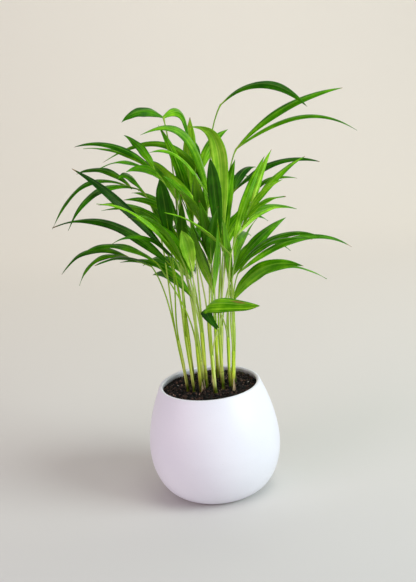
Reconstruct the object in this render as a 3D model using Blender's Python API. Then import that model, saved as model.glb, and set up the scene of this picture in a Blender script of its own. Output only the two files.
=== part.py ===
"""A potted palm: a clump of young areca palms standing in the soil of an egg-shaped white ceramic pot.

Metres, +Z up. The origin is the centre of the pot's flat underside. Every stem stands in its own hole in the soil
and splits at its top into two or three leaf stalks, and each stalk carries one frond, made in one piece with it.
"""

import itertools
import math
from typing import NamedTuple

import bmesh
import bpy
from mathutils import Matrix, Vector
from mathutils.bvhtree import BVHTree

# Pot
POT_HEIGHT = 0.114
BELLY_DIAMETER = 0.132
BELLY_HEIGHT = 0.050
RIM_DIAMETER = 0.102
FOOT_DIAMETER = 0.070
WALL = 0.004
FLOOR = 0.006
SHOULDER_POWER = 1.8

# Soil
SOIL_BELOW_RIM = 0.006
SOIL_CROWN = 0.0015
SOIL_RING_SHARES = (0.7, 0.35)
SOCKET_DEPTH = 0.018

# Plant
PLANT_HEIGHT = 0.300
DRAWN_HEIGHT = 300.0
STEM_DIAMETER = 0.0038
STEM_TOP_DIAMETER = 0.0031
STALK_DIAMETER = 0.0016
STALK_END_SHARE = 0.75
LEAF_THICKNESS = 0.0008
LEAF_FOLD = 0.16
BLADE_FOOT = 0.18
BLADE_TAPER = 1.7

# How stalks and midribs curve, as shares of their length or of what bends them
STALK_LEAN = 0.6
STALK_RISE = 0.35
STALK_SETTLE = 0.3
STEM_UPRIGHT = 2.0
RIB_RISE = 0.33
RIB_SETTLE = 0.67
CREST_SHIFT = 0.15

# Fits. A stalk or blade that would meet another one is moved, by up to a reach in drawn millimetres
GAP = 0.0003
ROOM = 0.0006
ROOM_GROWS_OVER = 5
OWN_ROOM_FROM = 0.3
MOVE_REACH = 40
MOVE_STEP = 2
MOVE_TURNS = (0, 20, -20, 40)
CROWN_FOLLOWS = 0.4
RIB_FOLLOWS = 0.6

# Facets
AROUND_POT = 36
FOOT_STEPS = 6
SHOULDER_STEPS = 7
LIP_STEPS = 4
AROUND_STEM = 8
STEM_STEPS = 5
AROUND_STALK = 5
STALK_STEPS = 7
RACHIS_STEPS = 3
LEAF_STATIONS = 8

UP = Vector((0, 0, 1))
TO_FRONT = Vector((0, -1, 0))


class Leaflet(NamedTuple):
    """A blade of a frond: its tip, width and rise in drawn millimetres, and its shape.

    The crest says where it rises highest, and the roll how far its face is turned. Broadest is where it is widest, as
    a share of its length, and the lean is how its first part is drawn aside."""

    tip: tuple
    width: float
    rise: float
    crest: float = 0.0
    roll: float = 35.0
    broadest: float = 0.4
    lean: tuple = (0, 0, 0)


class Frond(NamedTuple):
    """A stalk with its leaflets: the stem that it stands on, where its blades begin and where its rachis ends."""

    stem: int
    crown: tuple
    leaflets: tuple
    rachis_end: tuple = None


# A stem's place in the soil, and its top above the soil, in drawn millimetres.
STEMS = {
    1: ((-22, -7), (-27, -9, 55)),
    2: ((-16, -12), (-19, -15, 60)),
    3: ((-9, -11), (-9, -18, 50)),
    4: ((-16, 18), (-18, 15, 70)),
    5: ((-6, 5), (-8, 7, 50)),
    6: ((-3, -4), (-3, -7, 60)),
    7: ((5, -19), (5, -25, 42)),
    8: ((4, 9), (5, 8, 70)),
    9: ((12, 9), (17, 11, 60)),
    10: ((13, -10), (14, -13, 58)),
    11: ((20, -6), (22, -6, 52)),
    12: ((23, -14), (26, -17, 42)),
    13: ((25, 2), (29, 3, 65)),
    14: ((-3, 21), (-3, 26, 55)),
    15: ((9, 20), (11, 24, 60)),
}

# The fronds, from the left of the clump to its right and then its back. Places are above the soil, in drawn
# millimetres.
FRONDS = (
    Frond(1, (-27, -26, 146), (Leaflet((-106, -35, 236), 12, 6, crest=0.1, roll=45, broadest=0.6),)),
    Frond(
        1,
        (-45, -5, 131),
        (
            Leaflet((-95, -45, 146), 9, 8, roll=20),
            Leaflet((-135, 15, 126), 7, 16),
            Leaflet((-115, -15, 121), 6, 14),
        ),
        rachis_end=(-65, -8, 142),
    ),
    Frond(
        1,
        (-45, 5, 201),
        (
            Leaflet((-66, -32, 222), 9, 7, crest=0.5, roll=65, broadest=0.5),
            Leaflet((-115, -45, 181), 8, 18),
            Leaflet((-110, 30, 221), 7, 10),
            Leaflet((-135, -5, 176), 6, 22, crest=-0.2),
        ),
        rachis_end=(-58, 4, 208),
    ),
    Frond(2, (-27, -15, 134), (Leaflet((-135, -4, 177), 12, 20, crest=0.2, broadest=0.32),)),
    Frond(2, (-24, -32, 157), (Leaflet((-27, -64, 224), 14, 5, crest=0.4, roll=0, broadest=0.58),)),
    Frond(
        2,
        (-20, -35, 141),
        (
            Leaflet((-75, -75, 171), 12, 14, crest=0.2, roll=20),
            Leaflet((-110, 25, 176), 7, 14),
        ),
    ),
    Frond(3, (-38, -25, 139), (Leaflet((-115, -30, 151), 8, 15, crest=0.1),)),
    Frond(
        3,
        (-10, -45, 131),
        (
            Leaflet((-85, -60, 206), 7, 14, crest=0.3),
            Leaflet((-62, -30, 186), 13, 10),
            Leaflet((-48, -80, 196), 13, 10, crest=0.3, roll=15),
        ),
    ),
    Frond(3, (-6, -44, 133), (Leaflet((-12, -64, 176), 14, 3, roll=-10, broadest=0.6),)),
    Frond(
        4,
        (-20, 15, 171),
        (
            Leaflet((-65, -5, 198), 7, 8),
            Leaflet((-60, 42, 196), 7, 8),
        ),
    ),
    Frond(
        4,
        (-20, 5, 271),
        (
            Leaflet((-58, -15, 271), 12, 8, roll=45),
            Leaflet((2, 30, 240), 13, 16, crest=-0.3, roll=60, broadest=0.5),
        ),
    ),
    Frond(
        4,
        (-25, -8, 211),
        (
            Leaflet((-80, -38, 234), 6, 11, crest=0.2),
            Leaflet((-58, -34, 228), 8, 6),
            Leaflet((-100, 22, 246), 5, 8),
            Leaflet((-105, -10, 252), 6.5, 11, crest=0.1, roll=45),
            Leaflet((-58, -2, 258), 9, 4, roll=45, broadest=0.5),
        ),
        rachis_end=(-33, -8, 224),
    ),
    Frond(
        5,
        (-10, 2, 96),
        (
            Leaflet((-75, -10, 138), 8, 14),
            Leaflet((-42, 45, 111), 9, 12),
        ),
    ),
    Frond(
        6,
        (-13, -20, 138),
        (
            Leaflet((-10, -36, 196), 11, 3, roll=-10),
            Leaflet((-22, -14, 202), 10, 4, roll=-10),
        ),
    ),
    Frond(
        6,
        (-2, -5, 166),
        (
            Leaflet((-25, -14, 266), 10, 6, roll=105, broadest=0.5),
            Leaflet((10, 2, 234), 11, 3, roll=-20),
        ),
    ),
    Frond(
        7,
        (13, -36, 73),
        (Leaflet((52, -80, 104), 18, 14, crest=-0.6, roll=40, broadest=0.55, lean=(-33, -8, 6)),),
    ),
    Frond(
        7,
        (12, -32, 136),
        (
            Leaflet((6, -40, 198), 12, 3, roll=-20),
            Leaflet((23, -50, 192), 10, 5, roll=-10),
            Leaflet((-4, -38, 206), 9, 3, roll=0),
        ),
    ),
    Frond(
        7,
        (8, -20, 168),
        (
            Leaflet((4, -42, 222), 12, 4, roll=0),
            Leaflet((-35, 6, 232), 10, 8),
            Leaflet((-25, -38, 222), 10, 6),
            Leaflet((-12, -56, 212), 10, 5, roll=0, broadest=0.5),
        ),
    ),
    Frond(8, (-3, 18, 161), (Leaflet((5, 38, 265), 15, 5, roll=-10, broadest=0.7),)),
    Frond(
        8,
        (18, 1, 188),
        (
            Leaflet((-42, -25, 259), 14, 27, crest=0.55, roll=35),
            Leaflet((-34, -52, 246), 10, 14, crest=0.4, roll=15),
            Leaflet((-82, 10, 232), 7, 36),
        ),
    ),
    Frond(
        9,
        (40, 20, 192),
        (
            Leaflet((125, 15, 214), 8, 13, crest=0.1),
            Leaflet((66, 58, 208), 9, 8),
        ),
    ),
    Frond(9, (40, 13, 168), (Leaflet((100, -10, 204), 7, 14, crest=0.2),)),
    Frond(10, (22, -28, 158), (Leaflet((19, -66, 238), 13, 7, crest=0.5, roll=-10, broadest=0.5),)),
    Frond(
        10,
        (25, -5, 140),
        (
            Leaflet((43, -14, 228), 13, 4, roll=110, broadest=0.5),
            Leaflet((66, 12, 184), 12, 8, roll=30),
        ),
    ),
    Frond(10, (26, -19, 160), (Leaflet((3, -48, 265), 15, 26, crest=0.8, roll=-40, broadest=0.5),)),
    Frond(
        11,
        (31, -29, 141),
        (
            Leaflet((-25, -72, 196), 10, 7, crest=0.2, roll=25),
            Leaflet((72, 6, 226), 9, 4, roll=60, broadest=0.5),
            Leaflet((88, 20, 172), 5.5, 8),
            Leaflet((86, -32, 192), 8, 8),
            Leaflet((85, -20, 206), 8, 6),
            Leaflet((80, 18, 230), 7, 4),
            Leaflet((110, 5, 222), 8, 6),
        ),
        rachis_end=(54, -14, 178),
    ),
    Frond(
        11,
        (33, -3, 116),
        (
            Leaflet((90, 28, 160), 13, 6),
            Leaflet((116, -25, 150), 9, 16, crest=0.2),
        ),
    ),
    Frond(
        12,
        (37, -20, 121),
        (
            Leaflet((105, -60, 156), 11, 13, roll=25),
            Leaflet((150, 4, 130), 8, 20, crest=0.2),
        ),
    ),
    Frond(
        12,
        (30, -17, 94),
        (
            Leaflet((98, -38, 126), 15, 15, crest=0.1),
            Leaflet((125, 15, 97), 5, 22),
        ),
    ),
    Frond(13, (35, 24, 276), (Leaflet((114, -5, 269), 9, 20, roll=45, broadest=0.62),)),
    Frond(
        11,
        (12, -26, 106),
        (
            Leaflet((2, -50, 178), 10, 3, roll=-10),
            Leaflet((18, -54, 176), 9, 3, roll=-10),
            Leaflet((-12, -34, 172), 8, 4, roll=10),
        ),
    ),
    Frond(
        12,
        (30, -12, 110),
        (
            Leaflet((26, -50, 182), 8, 4, roll=-10),
            Leaflet((58, -40, 176), 8, 6, roll=20),
        ),
    ),
    Frond(
        5,
        (-14, 6, 138),
        (
            Leaflet((-42, 18, 190), 11, 6, roll=10),
            Leaflet((-14, 22, 198), 11, 4, roll=-20),
            Leaflet((-28, 10, 206), 9, 4, roll=0),
        ),
    ),
    Frond(
        13,
        (45, -3, 236),
        (
            Leaflet((150, 10, 282), 8, 11, roll=50, broadest=0.55),
            Leaflet((155, -30, 246), 6, 20, crest=0.2, roll=40),
        ),
    ),
    Frond(
        5,
        (-22, 32, 146),
        (
            Leaflet((-70, 90, 162), 11, 12),
            Leaflet((-96, 58, 184), 10, 14),
        ),
    ),
    Frond(
        9,
        (36, 27, 121),
        (
            Leaflet((96, 70, 116), 10, 16),
            Leaflet((58, 102, 128), 11, 14),
        ),
    ),
    Frond(
        14,
        (-15, 32, 186),
        (
            Leaflet((-48, 86, 220), 11, 12),
            Leaflet((8, 82, 238), 11, 8),
        ),
    ),
    Frond(
        14,
        (-2, 42, 136),
        (
            Leaflet((-30, 110, 136), 11, 16),
            Leaflet((26, 106, 146), 11, 15),
        ),
    ),
    Frond(
        14,
        (-10, 40, 104),
        (
            Leaflet((-60, 95, 108), 10, 14),
            Leaflet((-5, 116, 88), 11, 16),
        ),
    ),
    Frond(
        15,
        (14, 34, 176),
        (
            Leaflet((60, 90, 194), 11, 12),
            Leaflet((20, 112, 186), 11, 14),
        ),
    ),
    Frond(
        15,
        (24, 34, 146),
        (
            Leaflet((76, 86, 146), 11, 15),
            Leaflet((104, 56, 162), 11, 14),
        ),
    ),
    Frond(
        15,
        (10, 40, 211),
        (
            Leaflet((-2, 90, 242), 11, 8),
            Leaflet((42, 76, 246), 11, 8),
        ),
    ),
)

POT_COLOUR = (0.86, 0.86, 0.87)
SOIL_COLOUR = (0.035, 0.022, 0.014)
STEM_COLOUR = (0.30, 0.46, 0.05)
FROND_COLOUR = (0.08, 0.26, 0.01)


def make_material(name, colour, roughness):
    material = bpy.data.materials.new(name)
    material.use_nodes = True
    shader = material.node_tree.nodes["Principled BSDF"]
    shader.inputs["Base Color"].default_value = (*colour, 1.0)
    shader.inputs["Roughness"].default_value = roughness
    shader.inputs["Metallic"].default_value = 0.0
    return material


def mesh_from(name, rings, first_end, last_end):
    """A closed skin over rings of equally many points. An end is a point the skin runs to, or None for a flat cap."""
    shape = bmesh.new()
    loops = [[shape.verts.new(point) for point in ring] for ring in rings]
    count = len(loops[0])
    for lower, upper in zip(loops, loops[1:]):
        for index in range(count):
            following = (index + 1) % count
            shape.faces.new((lower[index], lower[following], upper[following], upper[index]))
    for loop, end in ((loops[0], first_end), (loops[-1], last_end)):
        if end is None:
            shape.faces.new(loop)
            continue
        peak = shape.verts.new(end)
        for index in range(count):
            shape.faces.new((loop[index], loop[(index + 1) % count], peak))
    bmesh.ops.recalc_face_normals(shape, faces=shape.faces)
    mesh = bpy.data.meshes.new(name)
    shape.to_mesh(mesh)
    shape.free()
    return mesh


def add_object(name, mesh, material, location=(0, 0, 0)):
    mesh.materials.clear()
    mesh.materials.append(material)
    piece = bpy.data.objects.new(name, mesh)
    piece.location = location
    bpy.context.scene.collection.objects.link(piece)
    return piece


def skins_of(shape):
    """The faces of each closed skin of a mesh."""
    left = set(shape.faces)
    while left:
        skin = {left.pop()}
        edge_of_skin = set(skin)
        while edge_of_skin:
            near = {other for face in edge_of_skin for edge in face.edges for other in edge.link_faces}
            edge_of_skin = near - skin
            skin |= edge_of_skin
        left -= skin
        yield skin


def volume_inside(skin):
    """The volume that a closed skin holds, which is negative where the skin is the wall of a void."""
    total = 0.0
    for face in skin:
        corners = [vertex.co for vertex in face.verts]
        for second, third in zip(corners[1:], corners[2:]):
            total += corners[0].dot(second.cross(third)) / 6
    return total


def without_voids(mesh):
    """Fills the voids that are shut in where bodies that are joined touch on both sides of a hollow."""
    shape = bmesh.new()
    shape.from_mesh(mesh)
    walls = [face for skin in list(skins_of(shape)) if volume_inside(skin) < 0 for face in skin]
    bmesh.ops.delete(shape, geom=walls, context="FACES")
    shape.to_mesh(mesh)
    shape.free()
    return mesh


def combined(name, base, others, operation):
    """The mesh that a Boolean modifier makes of a base mesh and a group of others."""
    group = bpy.data.collections.new(name + "_group")
    helpers = []
    for index, mesh in enumerate([base, *others]):
        helper = bpy.data.objects.new(f"{name}_helper_{index}", mesh)
        bpy.context.scene.collection.objects.link(helper)
        helpers.append(helper)
    for helper in helpers[1:]:
        group.objects.link(helper)
    boolean = helpers[0].modifiers.new("boolean", "BOOLEAN")
    boolean.operation = operation
    boolean.operand_type = "COLLECTION"
    boolean.collection = group
    boolean.solver = "EXACT"
    evaluated = helpers[0].evaluated_get(bpy.context.evaluated_depsgraph_get())
    mesh = without_voids(bpy.data.meshes.new_from_object(evaluated))
    for helper in helpers:
        bpy.data.objects.remove(helper)
    bpy.data.collections.remove(group)
    return mesh


def smooth(mesh, degrees):
    mesh.shade_smooth()
    mesh.set_sharp_from_angle(angle=math.radians(degrees))


def bezier(points, share):
    """The point at a share of the way along a cubic curve."""
    start, first, second, end = points
    left = 1.0 - share
    return (
        start * left**3
        + first * (3 * left * left * share)
        + second * (3 * left * share * share)
        + end * share**3
    )


def tangents(points):
    """The unit direction of a path at each of its points."""
    ahead = points[1:] + points[-1:]
    behind = points[:1] + points[:-1]
    return [(after - before).normalized() for before, after in zip(behind, ahead)]


def tube(name, points, radii, sides):
    """A closed round bar along a path, with its cross-sections kept from twisting."""
    directions = tangents(points)
    across = directions[0].orthogonal().normalized()
    rings = []
    for point, direction, radius in zip(points, directions, radii):
        across = (across - direction * across.dot(direction)).normalized()
        beside = direction.cross(across)
        turns = [2 * math.pi * index / sides for index in range(sides)]
        rings.append([point + (across * math.cos(turn) + beside * math.sin(turn)) * radius for turn in turns])
    return mesh_from(name, rings, None, None)


def vessel_curve(inset, foot_height, top):
    """(radius, height) up the side of the pot, set in from its outer surface, from the foot's edge to a height."""
    foot = FOOT_DIAMETER / 2 - inset
    belly = BELLY_DIAMETER / 2 - inset
    rim = RIM_DIAMETER / 2 - inset
    shoulder_top = POT_HEIGHT - WALL / 2
    curve = []
    for step in range(FOOT_STEPS + 1):
        turn = math.pi / 2 * step / FOOT_STEPS
        radius = foot + (belly - foot) * math.sin(turn)
        curve.append((radius, foot_height + (BELLY_HEIGHT - foot_height) * (1 - math.cos(turn))))
    for step in range(1, SHOULDER_STEPS + 1):
        share = step / SHOULDER_STEPS
        height = BELLY_HEIGHT + (shoulder_top - BELLY_HEIGHT) * share
        if height >= top:
            height = top
            share = (top - BELLY_HEIGHT) / (shoulder_top - BELLY_HEIGHT)
        curve.append((rim + (belly - rim) * (1 - share**SHOULDER_POWER), height))
        if height == top:
            break
    return curve


def turned(name, curve, first_end, last_end):
    """A body turned round the upright axis through the origin."""
    turns = [2 * math.pi * index / AROUND_POT for index in range(AROUND_POT)]
    rings = [[Vector((radius * math.cos(turn), radius * math.sin(turn), height)) for turn in turns]
             for radius, height in curve]
    return mesh_from(name, rings, first_end, last_end)


def build_pot():
    lip = WALL / 2
    outside = vessel_curve(0.0, 0.0, POT_HEIGHT - lip)
    inside = vessel_curve(WALL, FLOOR, POT_HEIGHT - lip)
    middle = RIM_DIAMETER / 2 - lip
    rounding = []
    for step in range(1, LIP_STEPS):
        turn = math.pi * step / LIP_STEPS
        rounding.append((middle + lip * math.cos(turn), POT_HEIGHT - lip + lip * math.sin(turn)))
    mesh = turned("pot", outside + rounding + inside[::-1], None, None)
    smooth(mesh, 40)
    return add_object("pot", mesh, make_material("white_ceramic", POT_COLOUR, 0.45))


def build_soil(stem_paths):
    """The fill of the pot, a little higher in its middle, with a hole for each stem."""
    curve = vessel_curve(WALL + GAP, FLOOR + GAP, soil_level())
    edge = curve[-1][0]
    for share in SOIL_RING_SHARES:
        curve.append((edge * share, soil_level() + SOIL_CROWN * (1 - share * share)))
    fill = turned("soil_fill", curve, None, Vector((0, 0, soil_level() + SOIL_CROWN)))
    cutters = []
    for number, path in stem_paths.items():
        buried = path[0] - (path[1] - path[0]).normalized() * GAP
        radii = [STEM_DIAMETER / 2 + GAP] * len(path)
        cutters.append(tube(f"socket_{number}", [buried, *path[1:]], radii, AROUND_STEM))
    mesh = combined("soil", fill, cutters, "DIFFERENCE")
    return add_object("soil", mesh, make_material("potting_soil", SOIL_COLOUR, 0.95))


def soil_level():
    return POT_HEIGHT - SOIL_BELOW_RIM


def drawn(place):
    """A place above the soil in drawn millimetres, as metres in the world."""
    scale = PLANT_HEIGHT / DRAWN_HEIGHT
    return Vector((place[0], place[1], place[2])) * scale + UP * soil_level()


def stem_path(root, top):
    """From the bottom of the stem's socket, up through the soil, and in a slight curve to its top."""
    start = drawn((*root, 0))
    end = drawn(top)
    reach = (end - start).length / 3
    chord = (end - start).normalized()
    leaving = (chord + UP * STEM_UPRIGHT).normalized()
    controls = (start, start + leaving * reach, end - chord * reach, end)
    above = [bezier(controls, step / STEM_STEPS) for step in range(STEM_STEPS + 1)]
    return [start - leaving * SOCKET_DEPTH, *above]


def stem_radii(path):
    """The stem keeps its width under the soil and narrows from the soil to its top."""
    steps = len(path) - 2
    narrowing = (STEM_DIAMETER - STEM_TOP_DIAMETER) / 2
    return [STEM_DIAMETER / 2 - narrowing * max(index - 1, 0) / steps for index in range(len(path))]


def stalk_starts(path, crowns):
    """Where the stalks of one stem begin, side by side just above its flat top, each on the side that it leans to."""
    direction = (path[-1] - path[-2]).normalized()
    across = direction.cross(TO_FRONT).normalized()
    beside = direction.cross(across)
    count = len(crowns)
    spread = 0.0
    if count > 1:
        spread = (STALK_DIAMETER + GAP) / 2 / math.sin(math.pi / count)
    offsets = []
    for index in range(count):
        turn = 2 * math.pi * index / count
        offsets.append((across * math.cos(turn) + beside * math.sin(turn)) * spread)
    leanings = [(crown - path[-1]).normalized() for crown in crowns]
    best = max(
        itertools.permutations(offsets),
        key=lambda order: sum(offset.dot(leaning) for offset, leaning in zip(order, leanings)),
    )
    return [path[-1] + direction * GAP + offset for offset in best], direction


def sized(millimetres):
    return millimetres * PLANT_HEIGHT / DRAWN_HEIGHT


def stalk_path(frond, start, leaving, move):
    """The stalk's centreline up to the crown, and on along the rachis where the frond has one."""
    crown = drawn(frond.crown) + move.tip * CROWN_FOLLOWS
    tips = [drawn(leaflet.tip) - crown for leaflet in frond.leaflets]
    spread = sum((tip.normalized() for tip in tips), Vector()) / len(tips)
    arriving = (UP + spread * STALK_LEAN).normalized()
    reach = (crown - start).length
    first = start + leaving * reach * STALK_RISE
    second = crown - arriving * reach * STALK_SETTLE + move.middle
    controls = (start, first, second, crown)
    path = [bezier(controls, step / STALK_STEPS) for step in range(STALK_STEPS + 1)]
    if frond.rachis_end:
        end = drawn(frond.rachis_end) + move.tip * CROWN_FOLLOWS
        length = (end - crown).length
        controls = (crown, crown + arriving * length * STALK_RISE, end - (end - crown) * STALK_SETTLE, end)
        path += [bezier(controls, step / RACHIS_STEPS) for step in range(1, RACHIS_STEPS + 1)]
    return path


def stalk_radii(path):
    last = len(path) - 1
    return [STALK_DIAMETER / 2 * (1 - (1 - STALK_END_SHARE) * index / last) for index in range(last + 1)]


def grown_radii(path):
    """The stalk's radii with room around it, which starts small between the stalks that leave one stem together."""
    return [radius + ROOM * min((index + 1) / ROOM_GROWS_OVER, 1.0) for index, radius in enumerate(stalk_radii(path))]


def leaf_width(share, broadest):
    """The blade's width as a share of its greatest, from its narrow foot over its broad middle to its point."""
    if share < broadest:
        return BLADE_FOOT + (1 - BLADE_FOOT) * math.sin(share / broadest * math.pi / 2)
    return 1 - ((share - broadest) / (1 - broadest)) ** BLADE_TAPER


def leaf_controls(leaflet, foot, move):
    """The control points of the midrib: it leaves its foot, rises to its crest and comes down to its tip."""
    tip = drawn(leaflet.tip) + move.tip
    chord = tip - foot
    along = chord.normalized()
    rising = (UP - along * UP.dot(along)).normalized()
    lift = rising * sized(leaflet.rise) * 4 / 3
    lean = Vector(sized(distance) for distance in leaflet.lean)
    first = foot + chord * RIB_RISE + lift * (1 - leaflet.crest) + lean + move.middle * RIB_FOLLOWS
    second = foot + chord * (RIB_SETTLE + CREST_SHIFT * leaflet.crest) + lift * (1 + leaflet.crest) + move.middle
    return (foot, first, second, tip), rising


def leaf_mesh(name, leaflet, foot, move, grow=0.0, first=0.0):
    """A blade folded along its midrib, as a closed skin whose sections have an edge at each side and two at the rib.

    The skin may be grown on all sides, and may leave out a first share of the blade's length."""
    controls, rising = leaf_controls(leaflet, foot, move)
    shares = [first + (1 - first) * step / LEAF_STATIONS for step in range(LEAF_STATIONS + 1)]
    points = [bezier(controls, share) for share in shares]
    directions = tangents(points)
    side = (controls[3] - foot).normalized().cross(rising)
    turn = math.radians(leaflet.roll + move.roll) * (1 if side.y < 0 else -1)
    rings = []
    for share, point, direction in zip(shares[:-1], points, directions):
        across = direction.cross(rising).normalized()
        across = Matrix.Rotation(turn, 3, direction) @ across
        face = across.cross(direction)
        half = sized(leaflet.width) * leaf_width(share, leaflet.broadest) / 2
        fold = face * half * LEAF_FOLD
        thick = LEAF_THICKNESS / 2 + grow
        rings.append([
            point + across * (half + grow) - fold,
            point + face * thick + fold,
            point - across * (half + grow) - fold,
            point - face * thick + fold,
        ])
    tip = points[-1] + directions[-1] * grow
    return mesh_from(name, rings, None, tip)


def tree_of(mesh):
    return BVHTree.FromPolygons([vertex.co for vertex in mesh.vertices], [face.vertices for face in mesh.polygons])


class Move(NamedTuple):
    """How far a stalk's or blade's middle and end stand from where they were drawn, and its turn in degrees."""

    middle: Vector
    tip: Vector
    roll: float


def moves():
    """Moves to try, smallest first: to the back and front, the sides, and up and down, each with a few turns."""
    ways = [Vector((0, 1, 0)), Vector((0, -1, 0)), Vector((1, 0, 0.4)), Vector((-1, 0, -0.4)), Vector((0, 0, 1)),
            Vector((0, 0, -1)), Vector((0.7, 0.7, 0)), Vector((-0.7, -0.7, 0)), Vector((0.7, -0.7, 0)),
            Vector((-0.7, 0.7, 0))]
    for roll in MOVE_TURNS:
        yield Move(Vector(), Vector(), roll)
    for distance in range(MOVE_STEP, MOVE_REACH, MOVE_STEP):
        for way in ways:
            for roll in MOVE_TURNS:
                step = way * sized(distance)
                yield Move(step, Vector(), roll)
                yield Move(step, step, roll)


def first_with_room(make, obstacles, what):
    """The first move whose grown skin touches nothing that stands already."""
    for move in moves():
        skins = make(move)
        if not any(skin.overlap(other) for skin, others in zip(skins, obstacles) for other in others):
            return move
    raise RuntimeError(f"there is no room for {what}")


def build_stems():
    material = make_material("green_stem", STEM_COLOUR, 0.5)
    paths = {}
    for number, (root, top) in STEMS.items():
        path = stem_path(root, top)
        mesh = tube(f"stem_{number:02d}", path, stem_radii(path), AROUND_STEM)
        smooth(mesh, 50)
        add_object(f"stem_{number:02d}", mesh, material)
        paths[number] = path
    return paths


def trees_of(skins):
    """The search tree of each mesh in turn, which is then thrown away."""
    trees = []
    for skin in skins:
        trees.append(tree_of(skin))
        bpy.data.meshes.remove(skin)
    return trees


def placed_stalks(stem_paths, taken):
    """The path of each frond's stalk, moved where it would meet a stem or a stalk before it, and its search tree."""
    starts = {}
    for number, path in stem_paths.items():
        carried = [index for index, frond in enumerate(FRONDS) if frond.stem == number]
        places, leaving = stalk_starts(path, [drawn(FRONDS[index].crown) for index in carried])
        for index, place in zip(carried, places):
            starts[index] = (place, leaving)
    paths = []
    trees = []
    for index, frond in enumerate(FRONDS):
        start, leaving = starts[index]

        def grown_stalk(move, frond=frond, start=start, leaving=leaving):
            path = stalk_path(frond, start, leaving, move)
            return trees_of([tube("try", path, grown_radii(path), AROUND_STALK)])

        move = first_with_room(grown_stalk, [taken + trees], f"stalk {index + 1}")
        path = stalk_path(frond, start, leaving, move)
        paths.append(path)
        trees += trees_of([tube("try", path, stalk_radii(path), AROUND_STALK)])
    return paths, trees


def placed_blades(name, frond, path, others, stalk_tree):
    """The blades of a frond, moved where they would meet other fronds, or each other away from their feet."""
    own = [stalk_tree]
    blades = []
    for order, leaflet in enumerate(frond.leaflets):
        foot = leaf_foot(frond, path, order)

        def grown_leaf(move, leaflet=leaflet, foot=foot):
            return trees_of(leaf_mesh("try", leaflet, foot, move, ROOM, first) for first in (0.0, OWN_ROOM_FROM))

        move = first_with_room(grown_leaf, [others, own], f"leaflet {order + 1} of {name}")
        own += trees_of([leaf_mesh("try", leaflet, foot, move, first=OWN_ROOM_FROM)])
        blades.append(leaf_mesh(f"{name}_blade_{order}", leaflet, foot, move))
    return blades


def build_fronds(stem_paths):
    """Each frond is its stalk and blades in one piece. The stalks are placed first, then the blades in turn."""
    material = make_material("green_leaf", FROND_COLOUR, 0.35)
    taken = [tree_of(bpy.data.objects[f"stem_{number:02d}"].data) for number in stem_paths]
    paths, stalk_trees = placed_stalks(stem_paths, taken)
    for index, (frond, path) in enumerate(zip(FRONDS, paths)):
        name = f"frond_{index + 1:02d}"
        blades = placed_blades(name, frond, path, taken + stalk_trees[index + 1:], stalk_trees[index])
        taken += [stalk_trees[index], *(tree_of(blade) for blade in blades)]
        stalk = tube(name, path, stalk_radii(path), AROUND_STALK)
        mesh = combined(name, stalk, blades, "UNION")
        smooth(mesh, 30)
        add_object(name, mesh, material)


def leaf_foot(frond, path, order):
    """A blade starts inside the stalk: just below the crown, or in turn along the rachis, the last two at its end."""
    end = path[-1] - (path[-1] - path[-2]).normalized() * STALK_DIAMETER / 2
    if not frond.rachis_end:
        return end
    steps = max(len(frond.leaflets) - 2, 1)
    place = min(order / steps, 1.0) * RACHIS_STEPS
    if place >= RACHIS_STEPS:
        return end
    rachis = path[STALK_STEPS:]
    whole = int(place)
    return rachis[whole].lerp(rachis[whole + 1], place - whole)


def build_palm():
    for piece in list(bpy.data.objects):
        bpy.data.objects.remove(piece)
    build_pot()
    stem_paths = build_stems()
    build_soil(stem_paths)
    build_fronds(stem_paths)


build_palm()
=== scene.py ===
"""A potted areca palm in a matte white pot: the detailed look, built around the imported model.

Every stem, stalk and blade is measured on its CAD node and rebuilt finely in the same place. Metres, +Z up,
with the pot's underside on z = 0 and the front of the plant towards -Y.
"""

import math
import random

import bmesh
import bpy
import numpy as np
from mathutils import Matrix, Vector, noise


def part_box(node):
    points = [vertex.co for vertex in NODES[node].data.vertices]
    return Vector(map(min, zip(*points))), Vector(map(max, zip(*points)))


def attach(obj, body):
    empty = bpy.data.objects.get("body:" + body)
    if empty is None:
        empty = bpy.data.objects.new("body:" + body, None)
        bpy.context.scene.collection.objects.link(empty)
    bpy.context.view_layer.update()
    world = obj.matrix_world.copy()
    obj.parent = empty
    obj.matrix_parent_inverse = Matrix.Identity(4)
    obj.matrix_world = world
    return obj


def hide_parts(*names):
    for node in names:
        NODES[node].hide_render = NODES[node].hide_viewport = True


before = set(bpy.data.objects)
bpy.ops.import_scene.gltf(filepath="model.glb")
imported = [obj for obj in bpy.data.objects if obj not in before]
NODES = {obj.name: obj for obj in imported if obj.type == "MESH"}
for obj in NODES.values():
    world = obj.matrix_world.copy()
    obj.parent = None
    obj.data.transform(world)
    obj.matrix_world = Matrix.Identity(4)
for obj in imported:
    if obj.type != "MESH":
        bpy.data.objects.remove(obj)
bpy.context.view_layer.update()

UP = Vector((0, 0, 1))
MM = 0.001

# How the CAD solids are laid out along their length
BLADE_STATIONS = 8
BLADE_CORNERS = 4
STALK_STATIONS = 7
STALK_CORNERS = 5
STEM_CORNERS = 8

# The shares that shape a CAD blade's width: at its foot, and the power that its outer part narrows by
BLADE_FOOT = 0.18
BLADE_TAPER = 1.7

# The fine meshes
BLADE_STEPS = 30
BLADE_ACROSS = 6
RIB_STEPS = 8
RIB_SIDES = 8
STALK_STEPS = 22
STALK_SIDES = 10
STEM_STEPS = 44
STEM_SIDES = 18
POT_SIDES = 180
SOIL_SIDES = 190
SOIL_ROWS = 46
FIBRE_SIDES = 6

# How far the midrib stands out along a blade, and how near a blade's foot is to count as being at the crown
RIB_REACH = 0.34
NEAR_CROWN = 3 * MM

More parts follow.
